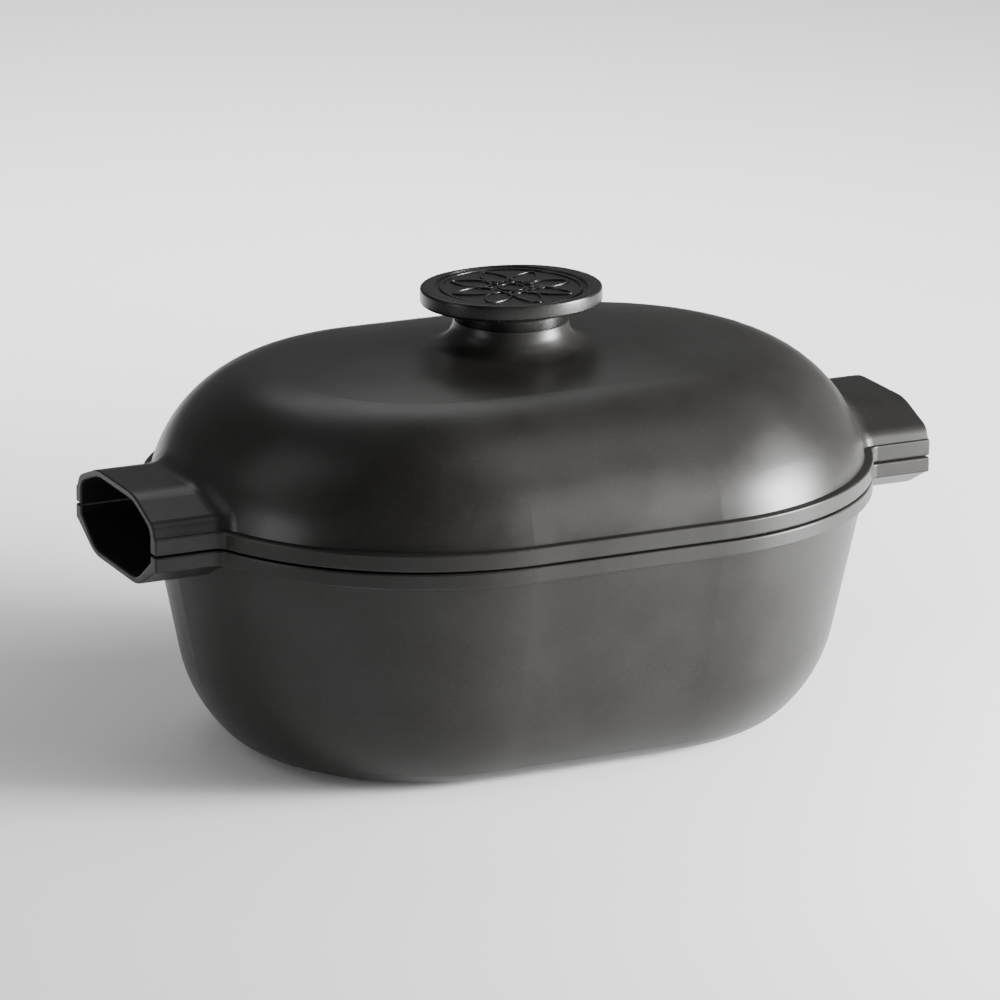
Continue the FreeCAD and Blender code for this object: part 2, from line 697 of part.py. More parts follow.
def neck_section(sketch):
    """Half section of the neck: flat foot, upright side and concave top under the disc."""
    disc_foot = "(dims.knob_top - dims.disc_height)"
    collar = "(dims.neck_radius + dims.neck_fillet)"
    above = f"({disc_foot} + dims.disc_round)"
    neck, fillet, top_z = (value(size) for size in ("dims.neck_radius", "dims.neck_fillet", disc_foot))
    lines = draw_chain(sketch, [
        (collar, disc_foot),
        (collar, above),
        ("0", above),
        ("0", BOSS_TOP),
        ("dims.neck_radius", BOSS_TOP)])
    side = draw_line(sketch, (neck, value(BOSS_TOP)), (neck, top_z - fillet))
    hollow = draw_arc(sketch, (neck + fillet, top_z - fillet), fillet, 90, 180)
    join(sketch, lines[-1], 2, side, 1)
    join(sketch, side, 2, hollow, 2, "Tangent")
    join(sketch, hollow, 1, lines[0], 1)
    bind(sketch, "Radius", hollow, size="dims.neck_fillet")
    sketch.addConstraint(Sketcher.Constraint("Vertical", side))


def draw_oval(sketch, length, width, end_radius):
    """Add an oval of four arcs, smooth where they meet, about the sketch's origin."""
    reach = f"({length} / 2 - {end_radius})"
    side_radius = "(({0}) ^ 2 + ({1} / 2) ^ 2 - {2} ^ 2) / ({1} - 2 * {2})".format(
        reach, width, end_radius)
    small, large, shift = value(end_radius), value(side_radius), value(reach)
    drop = large - value(width) / 2
    angle = math.degrees(math.atan2(drop, shift))
    right = draw_arc(sketch, (shift, 0), small, -angle, angle)
    back = draw_arc(sketch, (0, -drop), large, angle, 180 - angle)
    left = draw_arc(sketch, (-shift, 0), small, 180 - angle, 180 + angle)
    front = draw_arc(sketch, (0, drop), large, 180 + angle, 360 - angle)
    ring = (right, back, left, front)
    for item, following in zip(ring, ring[1:] + ring[:1]):
        join(sketch, item, 2, following, 1, "Tangent")
    for item, axis in zip(ring[:3], (-1, -2, -1)):
        sketch.addConstraint(Sketcher.Constraint("PointOnObject", item, 3, axis))
    bind(sketch, "Radius", right, size=end_radius)
    bind(sketch, "Radius", back, size=side_radius)
    bind(sketch, "DistanceX", -1, 1, right, 3, size=reach)
    sketch.addConstraint(Sketcher.Constraint("Equal", right, left))
    sketch.addConstraint(Sketcher.Constraint("Equal", back, front))


def make_knob():
    """The knob: flared neck, oval disc with a shallow round recess, and a blind bore."""
    body = doc.addObject("PartDesign::Body", "knob")
    section = new_sketch(body, "neck_section", "YZ_Plane")
    neck_section(section)
    neck = body.newObject("PartDesign::Revolution", "neck")
    neck.Profile = section
    neck.ReferenceAxis = (section, ["V_Axis"])
    neck.Angle = 360
    doc.recompute()
    disc_foot = "(dims.knob_top - dims.disc_height)"
    oval = new_sketch(body, "disc_outline", "XY_Plane", disc_foot)
    draw_oval(oval, "dims.knob_length", "dims.knob_width", "dims.knob_end")
    pad_up(body, "disc", oval, "dims.disc_height")
    top, foot = value("dims.knob_top"), value(disc_foot)
    wide = value("dims.neck_radius + dims.neck_fillet") + 0.1
    round_edges(body, "disc_rounding", "dims.disc_round",
                lambda edge: (at_height(edge, top) or at_height(edge, foot))
                and math.hypot(middle_of(edge).x, middle_of(edge).y) > wide)
    cut_disc(body, "dish", "dims.dish_radius", "(dims.knob_top - dims.dish_depth)",
             "(dims.knob_top + dims.disc_height)")
    cut_disc(body, "insert_bore", "dims.insert_radius", BOSS_TOP,
             f"({BOSS_TOP} + dims.insert_length)")
    return body


def make_ring(label, outer, inner, bottom, top):
    """A plain ring about the Z axis: the insert, the washer or the gasket."""
    body = doc.addObject("PartDesign::Body", label)
    add_disc(body, label + "_disc", outer, bottom, top)
    cut_disc(body, label + "_bore", inner, bottom, top)
    return body


def make_screw():
    """Button-head screw: shank upward through the lid, rounded head with a hex socket."""
    body = doc.addObject("PartDesign::Body", "knob_screw")
    seat = WASHER_FOOT
    add_disc(body, "head", "dims.head_radius", f"({seat} - dims.head_height)", seat)
    add_disc(body, "shank", "dims.screw_radius", seat, f"({BOSS_TOP} + dims.screw_grip)")
    low = value(f"{seat} - dims.head_height")
    round_edges(body, "head_rounding", "dims.head_round", lambda edge: at_height(edge, low))
    before = body.Shape.Volume
    socket = new_sketch(body, "socket_outline", "XY_Plane", f"({seat} - dims.head_height)")
    draw_loop(socket, [(f"dims.socket_radius * cos({60 * side})",
                        f"dims.socket_radius * sin({60 * side})") for side in range(6)])
    feature = body.newObject("PartDesign::Pocket", "socket")
    feature.Profile = socket
    feature.Reversed = True
    feature.setExpression("Length", "dims.socket_depth")
    cut_check(feature, before)
    return body


# ---------------------------------------------------------------- checks and files

def check_features():
    """Stop if any object of the document has failed."""
    for item in doc.Objects:
        if {"Invalid", "Error"} & set(item.State):
            raise RuntimeError(item.Name + " failed: " + ", ".join(item.State))


def write_node(body):
    """Write one sub-part's file after checking that it is one sound solid."""
    shape = body.Shape
    if shape.isNull() or not shape.isValid() or len(shape.Solids) != 1:
        raise RuntimeError(body.Label + " is not one sound solid")
    shape.exportStep(f"parts/{body.Label}.step")
    box = shape.BoundBox
    print(f"{body.Label}: {shape.Volume / 1000:.1f} cm3, X {box.XMin:.1f} to {box.XMax:.1f}, "
          f"Y {box.YMin:.1f} to {box.YMax:.1f}, Z {box.ZMin:.1f} to {box.ZMax:.1f}")


def main():
    """Build every sub-part, check the document and write the files."""
    fill_sheet()
    bodies = [
        make_pot(),
        make_lid(),
        make_knob(),
        make_ring("knob_insert", "dims.insert_radius", "dims.screw_radius", BOSS_TOP,
                  f"({BOSS_TOP} + dims.insert_length)"),
        make_screw(),
        make_ring("screw_washer", "dims.washer_radius", "dims.clear_radius", WASHER_FOOT,
                  GASKET_FOOT),
        make_ring("knob_gasket", "dims.gasket_radius", "dims.clear_radius", GASKET_FOOT,
                  SPOT_HEIGHT)]
    doc.recompute()
    check_features()
    os.makedirs("parts", exist_ok=True)
    for body in bodies:
        write_node(body)


main()
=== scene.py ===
"""Looks of the covered casserole dish: glaze, knob, relief, fixing and studio.

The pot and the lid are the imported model's own solids and only get their glaze here.
The knob is a new surface of the same shape and size, with a raised rosette in its
shallow recess.  All places come from the frame, in metres, with +X along the handles
and +Z up.
"""
import math

import bmesh
import bpy
import numpy as np
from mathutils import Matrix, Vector


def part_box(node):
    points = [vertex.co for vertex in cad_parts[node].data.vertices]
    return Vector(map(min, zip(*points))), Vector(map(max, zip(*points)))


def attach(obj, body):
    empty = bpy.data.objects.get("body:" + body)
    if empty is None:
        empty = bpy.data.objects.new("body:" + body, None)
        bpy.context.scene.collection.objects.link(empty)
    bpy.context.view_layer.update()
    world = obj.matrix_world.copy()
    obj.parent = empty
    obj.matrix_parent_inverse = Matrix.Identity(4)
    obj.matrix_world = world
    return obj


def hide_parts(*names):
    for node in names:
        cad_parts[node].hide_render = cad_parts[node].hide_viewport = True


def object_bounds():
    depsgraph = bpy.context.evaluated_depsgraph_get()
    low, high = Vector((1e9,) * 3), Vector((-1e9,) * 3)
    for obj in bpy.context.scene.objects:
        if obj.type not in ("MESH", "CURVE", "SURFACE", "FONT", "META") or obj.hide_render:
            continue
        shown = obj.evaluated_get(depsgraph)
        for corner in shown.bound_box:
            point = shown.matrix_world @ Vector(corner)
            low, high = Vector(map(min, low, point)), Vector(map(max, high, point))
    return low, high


bl_info = {
    "name": "Covered casserole",
    "version": (1, 0, 0),
    "blender": (4, 5, 0),
    "location": "3D View > Sidebar > Casserole",
    "description": "Glaze, knob, relief, fixing and studio for a covered casserole dish",
    "category": "Add Mesh",
}

TURN = 2 * math.pi

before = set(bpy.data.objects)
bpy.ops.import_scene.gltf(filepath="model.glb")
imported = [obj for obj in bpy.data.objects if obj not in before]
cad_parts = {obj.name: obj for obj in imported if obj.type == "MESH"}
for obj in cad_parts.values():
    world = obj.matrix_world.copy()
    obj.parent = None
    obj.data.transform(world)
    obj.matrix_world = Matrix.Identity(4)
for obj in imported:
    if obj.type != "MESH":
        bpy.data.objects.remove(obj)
CAD_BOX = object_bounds()
KNOB_LOW, KNOB_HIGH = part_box("knob")


# ---------------------------------------------------------------- settings

class GlazeSettings(bpy.types.PropertyGroup):
    """Colour and finish of the satin glaze on the pot and the lid."""
    dark: bpy.props.FloatVectorProperty(
        name="Dark glaze", description="Colour of the glaze where it is thick",
        subtype="COLOR", size=3, min=0, max=1, default=(0.0095, 0.0090, 0.0080))
    pale: bpy.props.FloatVectorProperty(
        name="Pale glaze", description="Colour of the glaze where it is thin",
        subtype="COLOR", size=3, min=0, max=1, default=(0.0135, 0.0130, 0.0123))
    # The fleck colour is a painted glint: pale specks in the base colour that stand for light
    # caught by tiny bumps in the glaze, not flecks in the glaze itself.
    glint_fleck: bpy.props.FloatVectorProperty(
        name="Fleck", description="Colour of the fine mineral flecks",
        subtype="COLOR", size=3, min=0, max=1, default=(0.12, 0.11, 0.10))
    clay: bpy.props.FloatVectorProperty(
        name="Bare clay", description="Colour of the unglazed foot ring",
        subtype="COLOR", size=3, min=0, max=1, default=(0.30, 0.20, 0.14))
    roughness: bpy.props.FloatProperty(
        name="Roughness", description="Roughness of the satin glaze", min=0, max=1, default=0.335)
    ripple: bpy.props.FloatProperty(
        name="Ripple", description="Depth of the slow unevenness left by casting",
        unit="LENGTH", default=0.00012)
    grain: bpy.props.FloatProperty(
        name="Grain", description="Depth of the glaze's fine grain",
        unit="LENGTH", default=0.000009)


class KnobSettings(bpy.types.PropertyGroup):
    """Sizes of the knob; its overall box is the frame's."""
    end_radius: bpy.props.FloatProperty(
        name="End radius", description="Plan radius of the disc's two ends",
        unit="LENGTH", default=0.0305)
    disc_height: bpy.props.FloatProperty(
        name="Disc height", description="Thickness of the disc", unit="LENGTH", default=0.0065)
    neck_radius: bpy.props.FloatProperty(
        name="Neck radius", description="Radius of the neck", unit="LENGTH", default=0.0228)
    bead: bpy.props.FloatProperty(
        name="Bead", description="Rounding of the neck's foot", unit="LENGTH", default=0.0004)
    collar: bpy.props.FloatProperty(
        name="Collar", description="Concave radius under the disc", unit="LENGTH", default=0.003)
    rounding: bpy.props.FloatProperty(
        name="Rounding", description="Rounding of the disc's edges", unit="LENGTH", default=0.0012)
    recess_radius: bpy.props.FloatProperty(
        name="Recess radius", description="Radius of the round recess", unit="LENGTH",
        default=0.0302)
    recess_depth: bpy.props.FloatProperty(
        name="Recess depth", description="Depth of the round recess", unit="LENGTH",
        default=0.0011)
    segments: bpy.props.IntProperty(
        name="Segments", description="Columns of the surface round the knob", default=288)


class RosetteSettings(bpy.types.PropertyGroup):
    """The raised pattern in the knob's recess."""
    petals: bpy.props.IntProperty(
        name="Petals", description="Petals round the rosette", default=8)
    line_width: bpy.props.FloatProperty(
        name="Line width", description="Width of a raised line", unit="LENGTH", default=0.0011)
    line_height: bpy.props.FloatProperty(
        name="Line height", description="Height of a raised line", unit="LENGTH", default=0.0007)


class StudioSettings(bpy.types.PropertyGroup):
    """Floor, lights and camera."""
    floor: bpy.props.FloatVectorProperty(
        name="Floor", description="Colour of the floor",
        subtype="COLOR", size=3, min=0, max=1, default=(0.92, 0.92, 0.92))
    azimuth: bpy.props.FloatProperty(
        name="Azimuth", description="Camera's turn round the dish, in degrees", default=-25.9)
    elevation: bpy.props.FloatProperty(
        name="Elevation", description="Camera's height above the horizon, in degrees",
        default=16.9)
    offset: bpy.props.FloatVectorProperty(
        name="Offset", description="From the dish's middle to what the camera looks at",
        subtype="TRANSLATION", size=3, default=(-0.004, 0.0, 0.0017))
    floor_half: bpy.props.FloatProperty(
        name="Floor half", description="Half the floor's side", unit="LENGTH", default=6.0)
    roll: bpy.props.FloatProperty(
        name="Roll", description="Camera's turn about its own axis, in degrees", default=0.58)
    distance: bpy.props.FloatProperty(
        name="Distance", description="From the camera to what it looks at",
        unit="LENGTH", default=2.406)
    lens: bpy.props.FloatProperty(
        name="Lens", description="Focal length in millimetres", default=216.5)


SETTINGS = {
    "casserole_glaze": GlazeSettings,
    "casserole_knob": KnobSettings,
    "casserole_rosette": RosetteSettings,
    "casserole_studio": StudioSettings,
}


# ---------------------------------------------------------------- shader expressions

class Shade:
    """A shader socket; arithmetic on it adds Math nodes to its material."""

    def __init__(self, material, socket):
        self.material = material
        self.socket = socket

    def _math(self, operation, first, second):
        return self.material.node(
            "ShaderNodeMath", {"operation": operation}, {0: first, 1: second})

    def __add__(self, other):
        return self._math("ADD", self, other)

    def __radd__(self, other):
        return self._math("ADD", other, self)

    def __sub__(self, other):
        return self._math("SUBTRACT", self, other)

    def __rsub__(self, other):
        return self._math("SUBTRACT", other, self)

    def __mul__(self, other):
        return self._math("MULTIPLY", self, other)

    def __rmul__(self, other):
        return self._math("MULTIPLY", other, self)

    def __lt__(self, other):
        return self._math("LESS_THAN", self, other)


class Finish:
    """A material under construction, with one Principled BSDF."""

    def __init__(self, name, **constants):
        self.material = bpy.data.materials.new(name)
        self.material.use_nodes = True
        self.tree = self.material.node_tree
        self.shader = self.tree.nodes["Principled BSDF"]
        self.place = self.node("ShaderNodeTexCoord", {}, {}, "Object")
        for socket, value in constants.items():
            self.set(socket.replace("_", " "), value)

    def plug(self, socket, value):
        """Give a socket a link, a number or a colour."""
        if isinstance(value, Shade):
            self.tree.links.new(value.socket, socket)
        elif hasattr(value, "__len__") and socket.type == "RGBA":
            socket.default_value = (*value[:3], 1.0)
        else:
            socket.default_value = value

    def node(self, kind, settings, inputs, output=0):
        """Add a node: its settings first, then its sockets, and return one output."""
        made = self.tree.nodes.new(kind)
        for name, value in settings.items():
            setattr(made, name, value)
        for key, value in inputs.items():
            self.plug(made.inputs[key], value)
        return Shade(self, made.outputs[output])

    def set(self, socket, value):
        """Give one of the Principled BSDF's sockets its value or link."""
        self.plug(self.shader.inputs[socket], value)

    def noise(self, size, detail=2.0, rough=0.5):
        """Noise from 0 to 1 whose features are about size metres across."""
        return self.node("ShaderNodeTexNoise", {"noise_dimensions": "3D"}, {
            "Vector": self.place, "Scale": 1 / size, "Detail": detail, "Roughness": rough})

    def ramp(self, value, low, high):
        """0 below low and 1 above high, smooth between."""
        return self.node("ShaderNodeMapRange", {"interpolation_type": "SMOOTHSTEP"}, {
            "Value": value, "From Min": low, "From Max": high})

    def mix(self, share, first, second):
        """Blend two colours."""
        made = self.tree.nodes.new("ShaderNodeMix")
        made.data_type = "RGBA"
        self.plug(made.inputs["Factor"], share)
        self.plug(made.inputs[6], first)
        self.plug(made.inputs[7], second)
        return Shade(self, made.outputs[2])

    def bump(self, height, depth, under=None):
        """Raise the surface by a height from 0 to 1, times depth in metres."""
        inputs = {"Height": height, "Distance": depth}
        if under:
            inputs["Normal"] = under
        return self.node("ShaderNodeBump", {}, inputs)

    def axis(self, letter):
        """One coordinate of the object's own space, in metres."""
        return self.node("ShaderNodeSeparateXYZ", {}, {0: self.place}, letter)


def paint(piece, finish):
    """Make a finish the only material of a piece or a CAD node."""
    piece.data.materials.clear()
    piece.data.materials.append(finish.material)


# ---------------------------------------------------------------- finishes

MOTTLE = (0.35, 0.68)          # noise below the first is dark glaze, above the second pale
# Size and edge of the pale specks painted into the glaze's colour as glints off tiny bumps in its
# surface.
GLINT_FLECK_SIZE = 0.0007            # metres between flecks
GLINT_FLECK_EDGE = (0.12, 0.34)      # a fleck's inner and outer edge, in cells
BARE_BELOW = 0.00012           # metres of the foot that touch the table, left unglazed
KNOB_DARKER = 0.62             # the knob's glaze against the body's
KNOB_GLOSSIER = 0.11           # and how much less rough it is
RINGS_PER_METRE = 9000.0       # turning marks on the steel


def glint_fleck_mask(finish, size, share):
    """1 inside small scattered dots of one size, on about that share of the cells; the dots mark
    where pale glints are painted into the colour.
    """
    cells = {"voronoi_dimensions": "3D", "feature": "F1"}
    inputs = {"Vector": finish.place, "Scale": 1 / size, "Randomness": 1.0}
    distance = finish.node("ShaderNodeTexVoronoi", cells, inputs, "Distance")
    colour = finish.node("ShaderNodeTexVoronoi", cells, inputs, "Color")
    chosen = finish.node("ShaderNodeSeparateColor", {}, {0: colour}, 0) < share
    return (1 - finish.ramp(distance, *GLINT_FLECK_EDGE)) * chosen


def body_glaze(settings):
    """Satin charcoal glaze: slow mottling, pale flecks painted into the colour as glints, fine
    grain, bare clay on the foot.
    """
    finish = Finish("body_glaze", IOR=1.5, Specular_IOR_Level=0.25)
    mottle = finish.ramp(finish.noise(0.035, 3.0), *MOTTLE)
    # Painted glints: pale specks mixed into the base colour for light caught by tiny bumps in the
    # glaze.
    glint_flecks = glint_fleck_mask(finish, GLINT_FLECK_SIZE, 0.16)
    glazed = finish.mix(mottle, settings.dark, settings.pale)
    glazed = finish.mix(glint_flecks * 0.22, glazed, settings.glint_fleck)
    bare = finish.axis("Z") < BARE_BELOW
    finish.set("Base Color", finish.mix(bare, glazed, settings.clay))
    patchy = finish.noise(0.006, 3.0)
    rough = settings.roughness - 0.05 + patchy * 0.08 + mottle * 0.03 + bare * 0.4
    finish.set("Roughness", rough)
    ripple = finish.bump(finish.noise(0.045, 1.0), settings.ripple)
    grain = finish.bump(finish.noise(0.0007, 2.0), settings.grain, ripple)
    finish.set("Normal", grain)
    return finish


def knob_glaze(settings):
    """The same glaze, darker and a little glossier."""
    finish = Finish("knob_glaze", IOR=1.5, Specular_IOR_Level=0.25)
    mottle = finish.ramp(finish.noise(0.02, 3.0), *MOTTLE)
    # Painted glints: pale specks mixed into the knob's base colour, as on the body.
    glint_flecks = glint_fleck_mask(finish, GLINT_FLECK_SIZE, 0.10)
    dark = tuple(part * KNOB_DARKER for part in settings.dark)
    pale = tuple(part * KNOB_DARKER for part in settings.pale)
    glazed = finish.mix(mottle, dark, pale)
    finish.set("Base Color", finish.mix(glint_flecks * 0.25, glazed, settings.glint_fleck))
    finish.set("Roughness", settings.roughness - KNOB_GLOSSIER
               + finish.noise(0.004, 3.0) * 0.08)
    finish.set("Normal", finish.bump(finish.noise(0.0008, 2.0), settings.grain * 0.7))
    return finish


def turned_steel():
    """Stainless steel with fine rings of turning about the Z axis."""
    finish = Finish("fixing_steel", Metallic=1.0)
    x, y = finish.axis("X"), finish.axis("Y")
    reach = finish.node("ShaderNodeMath", {"operation": "SQRT"}, {0: x * x + y * y})
    line = finish.node("ShaderNodeCombineXYZ", {}, {0: reach * RINGS_PER_METRE})
    rings = finish.node("ShaderNodeTexNoise", {"noise_dimensions": "3D"},
                        {"Vector": line, "Scale": 1.0, "Detail": 1.0})
    finish.set("Base Color", finish.mix(rings, (0.50, 0.50, 0.51), (0.66, 0.66, 0.67)))
    finish.set("Roughness", 0.24 + rings * 0.14)
    finish.set("Normal", finish.bump(rings, 0.00001))
    return finish


def brass():
    """Machined brass with slight tarnish."""
    finish = Finish("insert_brass", Metallic=1.0)
    tarnish = finish.ramp(finish.noise(0.003, 3.0), 0.4, 0.7)
    finish.set("Base Color", finish.mix(tarnish, (0.72, 0.55, 0.25), (0.50, 0.37, 0.17)))
    finish.set("Roughness", 0.28 + tarnish * 0.2)
    return finish


def gasket_rubber():
    """Matte silicone rubber with a dusty grain."""
    finish = Finish("gasket_rubber", IOR=1.43)
    dust = finish.noise(0.0012, 3.0)
    finish.set("Base Color", finish.mix(dust, (0.16, 0.155, 0.15), (0.24, 0.235, 0.225)))
    finish.set("Roughness", 0.7 + dust * 0.15)
    finish.set("Normal", finish.bump(dust, 0.00003))
    return finish


# ---------------------------------------------------------------- surfaces

def make_surface(name, points, faces):
    """A smooth-shaded object at the origin from arrays of points and faces."""
    mesh = bpy.data.meshes.new(name)
    mesh.from_pydata(points, [], faces)
    mesh.update()
    mesh.shade_smooth()
    piece = bpy.data.objects.new(name, mesh)
    bpy.context.scene.collection.objects.link(piece)
    return piece


def grid_faces(rows, columns, close_rows=False):
    """Quads of a grid whose columns always close on themselves, and rows if asked.

    Point (row, column) has number row * columns + column, and each quad joins it to its
    neighbours in the next column and the next row.
    """
    row, column = np.meshgrid(np.arange(rows if close_rows else rows - 1),
                              np.arange(columns), indexing="ij")
    after = (column + 1) % columns
    below = (row + 1) % rows
    corners = (row * columns + column, row * columns + after,
               below * columns + after, below * columns + column)
    return np.stack(corners, axis=-1).reshape(-1, 4)


def oval_reach(angle, length, width, end_radius):
    """Distance from the centre to an oval of four arcs, at each angle.

    The ends are arcs of end_radius about (shift, 0), and the sides are arcs of a larger
    radius about (0, -drop), which is worked out so that the arcs meet smoothly.  Each
    distance solves a circle's equation along the ray.
    """
    shift = length / 2 - end_radius
    side = (shift ** 2 + width ** 2 / 4 - end_radius ** 2) / (width - 2 * end_radius)
    drop = side - width / 2
    across, up = np.abs(np.cos(angle)), np.abs(np.sin(angle))
    by_end = shift * across + np.sqrt(end_radius ** 2 - (shift * up) ** 2)
    by_side = -drop * up + np.sqrt(side ** 2 - (drop * across) ** 2)
    on_end = by_end * up * shift < (by_end * across - shift) * drop
    return np.where(on_end, by_end, by_side)


def arc_rings(share, radius, height, size, start, end, steps):
    """Rings of a quarter round about (radius, height): cosine outward, sine upward."""
    return [(share, radius + size * math.cos(angle), height + size * math.sin(angle))
            for angle in np.radians(np.linspace(start, end, steps))]


def knob_surface(settings):
    """The knob as rings about the Z axis, from the middle of its foot to its top's middle.

    A ring is a share of the oval plus a radius: at angle a its distance from the axis is
    radius + share * oval(a), at one height.  Round rings have share 0 and the disc's rings
    share 1.
    """
    foot, top = KNOB_LOW.z, KNOB_HIGH.z
    under = top - settings.disc_height
    neck, collar, edge = settings.neck_radius, settings.collar, settings.rounding
    bead, soft = settings.bead, edge / 2
    recess, floor = settings.recess_radius, top - settings.recess_depth
    rings = [(0, neck * share, foot) for share in (0.0, 0.4, 0.8)]
    rings += arc_rings(0, neck - bead, foot + bead, bead, -90, 0, 5)
    rings += arc_rings(0, neck + collar, under - collar, collar, 180, 90, 14)
    rings += arc_rings(1, -edge, under + edge, edge, -90, 0, 8)
    rings += arc_rings(1, -edge, top - edge, edge, 0, 90, 8)
    rings += arc_rings(0, recess + soft, top - soft, soft, 90, 180, 6)
    rings += arc_rings(0, recess - soft, floor + soft, soft, 0, -90, 6)
    rings += [(0, recess * share, floor) for share in (0.66, 0.33, 0.0)]
    share, radius, height = np.array(rings).T
    angle = np.arange(settings.segments) * TURN / settings.segments
    oval = oval_reach(angle, KNOB_HIGH.x - KNOB_LOW.x, KNOB_HIGH.y - KNOB_LOW.y,
                      settings.end_radius)
    reach = radius[:, None] + share[:, None] * oval[None, :]
    level = np.broadcast_to(height[:, None], reach.shape)
    return np.stack([reach * np.cos(angle), reach * np.sin(angle), level], axis=-1)


def closed_piece(name, points):
    """A closed skin from rings whose first and last ring are single points."""
    rows, columns = points.shape[:2]
    piece = make_surface(name, points.reshape(-1, 3), grid_faces(rows, columns))
    weld(piece)
    return piece


def weld(piece, distance=1e-7):
    """Merge points that coincide, such as a pole's ring."""
    skin = bmesh.new()
    skin.from_mesh(piece.data)
    bmesh.ops.remove_doubles(skin, verts=skin.verts, dist=distance)
    skin.to_mesh(piece.data)
    skin.free()


RIDGE_STEPS = 9                # points over a raised line's back
RIDGE_SUNK = 0.3               # share of its height that it goes below the floor
RIDGE_FULLNESS = 0.6           # power of the sine: under 1 is fuller than a half round


def ridge(path, width, height, floor):
    """A raised line with a rounded top along a closed path in plan.

    At each point of the path the section stands across it: half-width times the cosine of
    an angle sideways and height times the power 0.6 of its sine upward, closed below the
    floor.
    """
    ahead = np.roll(path, -1, axis=0) - np.roll(path, 1, axis=0)
    ahead /= np.linalg.norm(ahead, axis=1)[:, None]
    across = np.stack([-ahead[:, 1], ahead[:, 0]], axis=1)
    arc = np.linspace(0, math.pi, RIDGE_STEPS)
    sunk = -height * RIDGE_SUNK
    side = np.append(np.cos(arc) * width / 2, [-width / 2, width / 2])
    rise = np.append(np.sin(arc) ** RIDGE_FULLNESS * height, [sunk, sunk])
    plan = path[None, :, :] + across[None, :, :] * side[:, None, None]
    level = np.broadcast_to((floor + rise)[:, None, None], (*plan.shape[:2], 1))
    return np.concatenate([plan, level], axis=-1)


# Shares of the recess's radius: the two rings, then for each row of petals its middle,
# half-length and half-width, and its turn in shares of a petal's step.
RING_SHARES = (0.93, 0.17)
PETAL_ROWS = ((0.56, 0.27, 0.155, 0.0), (0.345, 0.095, 0.055, 0.5))
PETAL_TAPER = 0.35


def rosette_paths(settings, reach):
    """The rosette's closed lines in plan: petals, small inner petals and two rings.

    A petal's line is middle + half-length * cos(u) along its own axis and half-width *
    sin(u) * (1 - PETAL_TAPER * cos(u)) across it, so that it is blunt inside and pointed outside.
    """
    u = np.linspace(0, TURN, 96, endpoint=False)
    ring = np.stack([np.cos(u), np.sin(u)], axis=1)
    paths = [ring * reach * share for share in RING_SHARES]
    for middle, half, wide, turn in PETAL_ROWS:
        along = middle + half * np.cos(u)
        across = wide * np.sin(u) * (1 - PETAL_TAPER * np.cos(u))
        for number in range(settings.petals):
            angle = (number + turn) * TURN / settings.petals
            spin = np.array([[math.cos(angle), math.sin(angle)],
                             [-math.sin(angle), math.cos(angle)]])
            paths.append(np.stack([along, across], axis=1) @ spin * reach)
    return paths


# ---------------------------------------------------------------- operators

class CASSEROLE_OT_glaze(bpy.types.Operator):
    """Glaze the pot and the lid"""
    bl_idname = "casserole.glaze"
    bl_label = "Glaze pot and lid"

    def execute(self, context):
        glaze = body_glaze(context.scene.casserole_glaze)
        for name in ("pot", "lid"):
            paint(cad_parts[name], glaze)
        return {"FINISHED"}


class CASSEROLE_OT_knob(bpy.types.Operator):
    """Make the knob's neck and disc in place of the plain ones"""
    bl_idname = "casserole.knob"
    bl_label = "Knob"

    def execute(self, context):
        knob = closed_piece("knob_body", knob_surface(context.scene.casserole_knob))
        paint(knob, knob_glaze(context.scene.casserole_glaze))
        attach(knob, "lid")
        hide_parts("knob")
        return {"FINISHED"}


class CASSEROLE_OT_rosette(bpy.types.Operator):
    """Raise the rosette in the knob's recess"""
    bl_idname = "casserole.rosette"
    bl_label = "Rosette"

    def execute(self, context):
        knob, settings = context.scene.casserole_knob, context.scene.casserole_rosette
        floor = KNOB_HIGH.z - knob.recess_depth
        points, faces, count = [], [], 0
        for path in rosette_paths(settings, knob.recess_radius):
            line = ridge(path, settings.line_width, settings.line_height, floor)
            faces.append(grid_faces(*line.shape[:2], close_rows=True)[:, ::-1] + count)
            points.append(line.reshape(-1, 3))
            count += len(points[-1])
        rosette = make_surface("knob_rosette", np.concatenate(points), np.concatenate(faces))
        paint(rosette, knob_glaze(context.scene.casserole_glaze))
        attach(rosette, "lid")
        return {"FINISHED"}


class CASSEROLE_OT_fixing(bpy.types.Operator):
    """Finish the screw, washer, gasket and insert inside the lid"""
    bl_idname = "casserole.fixing"
    bl_label = "Knob's fixing"

    def execute(self, context):
        steel = turned_steel()
        paint(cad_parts["knob_screw"], steel)
        paint(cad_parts["screw_washer"], steel)
        paint(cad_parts["knob_gasket"], gasket_rubber())
        paint(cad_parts["knob_insert"], brass())
        return {"FINISHED"}


def aim(thing, place, target):
    """Put a light or camera at a place, looking at a target."""
    thing.location = place
    thing.rotation_euler = (target - place).to_track_quat("-Z", "Y").to_euler()


def polar(azimuth, elevation, distance, target):
    """A place round a target: azimuth 0 is in front, on the -Y side, and turns to +X."""
    a, e = math.radians(azimuth), math.radians(elevation)
    back = Vector((math.sin(a) * math.cos(e), -math.cos(a) * math.cos(e), math.sin(e)))
    return target + back * distance


def add_light(name, target, azimuth, elevation, distance, size, power):
    """A rectangular soft box aimed at the target."""
    lamp = bpy.data.lights.new(name, "AREA")
    lamp.shape = "RECTANGLE"
    lamp.size, lamp.size_y = size
    lamp.energy = power
    box = bpy.data.objects.new(name, lamp)
    bpy.context.scene.collection.objects.link(box)
    aim(box, polar(azimuth, elevation, distance, target), target)
    return box


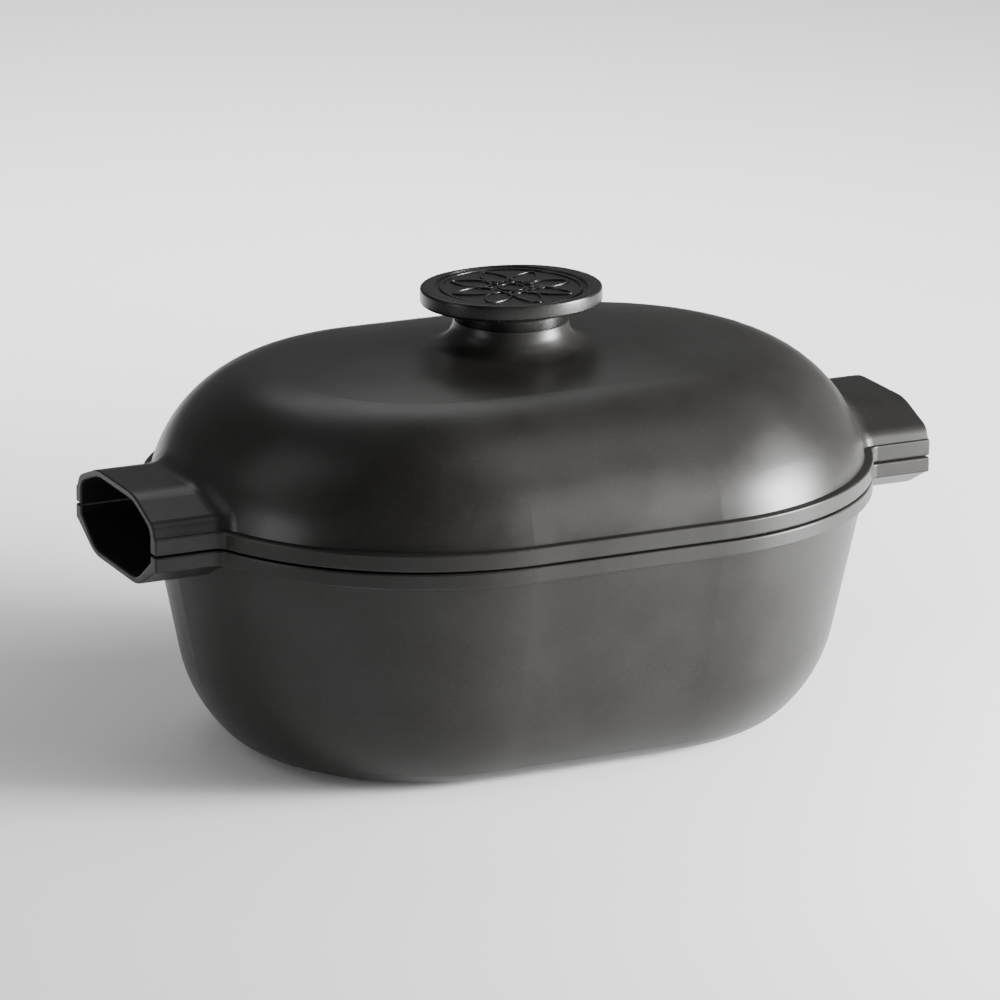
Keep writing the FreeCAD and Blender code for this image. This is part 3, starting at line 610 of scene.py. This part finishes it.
# Name, azimuth and elevation in degrees, width and height in metres, power in watts.
SOFT_BOXES = (
    ("key", 57, 7, (0.36, 0.36), 66),
    ("key_top", 68, 28, (0.34, 0.34), 3),
    ("front", 34, 24, (0.45, 0.50), 3),
    ("left", -100, 42, (0.42, 0.60), 1.2),
    ("low_left", -84, 8, (0.36, 0.30), 2.0),
    ("top", 40, 64, (0.50, 0.40), 1.3),
    ("rear", 165, 50, (0.60, 0.40), 1.6),
)
BOX_DISTANCE = 1.0
# The backdrop's lamp hangs behind the dish and faces away from it.
BACKDROP_PLACE = (0.1, 0.5, 0.9)
BACKDROP_TARGET = (0.6, 2.4, 0)
BACKDROP_SIZE = (1.2, 0.5)
BACKDROP_POWER = 34
SKY_STRENGTH = 0.20
SENSOR_WIDTH = 36.0            # millimetres


class CASSEROLE_OT_studio(bpy.types.Operator):
    """Add the floor, the soft boxes, the sky and the camera"""
    bl_idname = "casserole.studio"
    bl_label = "Studio"

    def execute(self, context):
        settings = context.scene.casserole_studio
        low, high = CAD_BOX
        middle = (low + high) / 2
        floor_mesh = bpy.data.meshes.new("floor")
        half = settings.floor_half
        floor_mesh.from_pydata([(-half, -half, 0), (half, -half, 0), (half, half, 0),
                                (-half, half, 0)], [], [(0, 1, 2, 3)])
        floor = bpy.data.objects.new("floor", floor_mesh)
        context.scene.collection.objects.link(floor)
        paper = Finish("floor_paper", Roughness=0.8, Base_Color=settings.floor)
        paint(floor, paper)

        world = bpy.data.worlds.new("studio")
        context.scene.world = world
        world.use_nodes = True
        world.node_tree.nodes["Background"].inputs["Color"].default_value = (1, 1, 1, 1)
        world.node_tree.nodes["Background"].inputs["Strength"].default_value = SKY_STRENGTH

        for name, azimuth, elevation, size, power in SOFT_BOXES:
            add_light(name, middle, azimuth, elevation, BOX_DISTANCE, size, power)
        lamp = add_light("backdrop", middle, 0, 0, BOX_DISTANCE, BACKDROP_SIZE, BACKDROP_POWER)
        aim(lamp, Vector(BACKDROP_PLACE), Vector(BACKDROP_TARGET))

        lens = bpy.data.cameras.new("camera")
        lens.lens = settings.lens
        lens.sensor_width = SENSOR_WIDTH
        camera = bpy.data.objects.new("camera", lens)
        context.scene.collection.objects.link(camera)
        target = middle + Vector(settings.offset)
        aim(camera, polar(settings.azimuth, settings.elevation, settings.distance, target), target)
        camera.rotation_euler.rotate_axis("Z", math.radians(settings.roll))
        context.scene.camera = camera
        return {"FINISHED"}


OPERATORS = (CASSEROLE_OT_glaze, CASSEROLE_OT_knob, CASSEROLE_OT_rosette, CASSEROLE_OT_fixing,
             CASSEROLE_OT_studio)


class CASSEROLE_PT_pieces(bpy.types.Panel):
    """The casserole's pieces, one button each"""
    bl_idname = "CASSEROLE_PT_pieces"
    bl_label = "Casserole"
    bl_space_type = "VIEW_3D"
    bl_region_type = "UI"
    bl_category = "Casserole"

    def draw(self, context):
        for operator in OPERATORS:
            self.layout.operator(operator.bl_idname)


def register():
    """Register the settings, the operators and the panel."""
    for name, group in SETTINGS.items():
        bpy.utils.register_class(group)
        setattr(bpy.types.Scene, name, bpy.props.PointerProperty(type=group))
    for item in (*OPERATORS, CASSEROLE_PT_pieces):
        bpy.utils.register_class(item)


def unregister():
    """Undo register, in reverse."""
    for item in (CASSEROLE_PT_pieces, *reversed(OPERATORS)):
        bpy.utils.unregister_class(item)
    for name, group in SETTINGS.items():
        delattr(bpy.types.Scene, name)
        bpy.utils.unregister_class(group)


def main():
    """Build everything in order."""
    register()
    for operator in OPERATORS:
        group, name = operator.bl_idname.split(".")
        getattr(getattr(bpy.ops, group), name)()


if __name__ == "__main__":
    main()
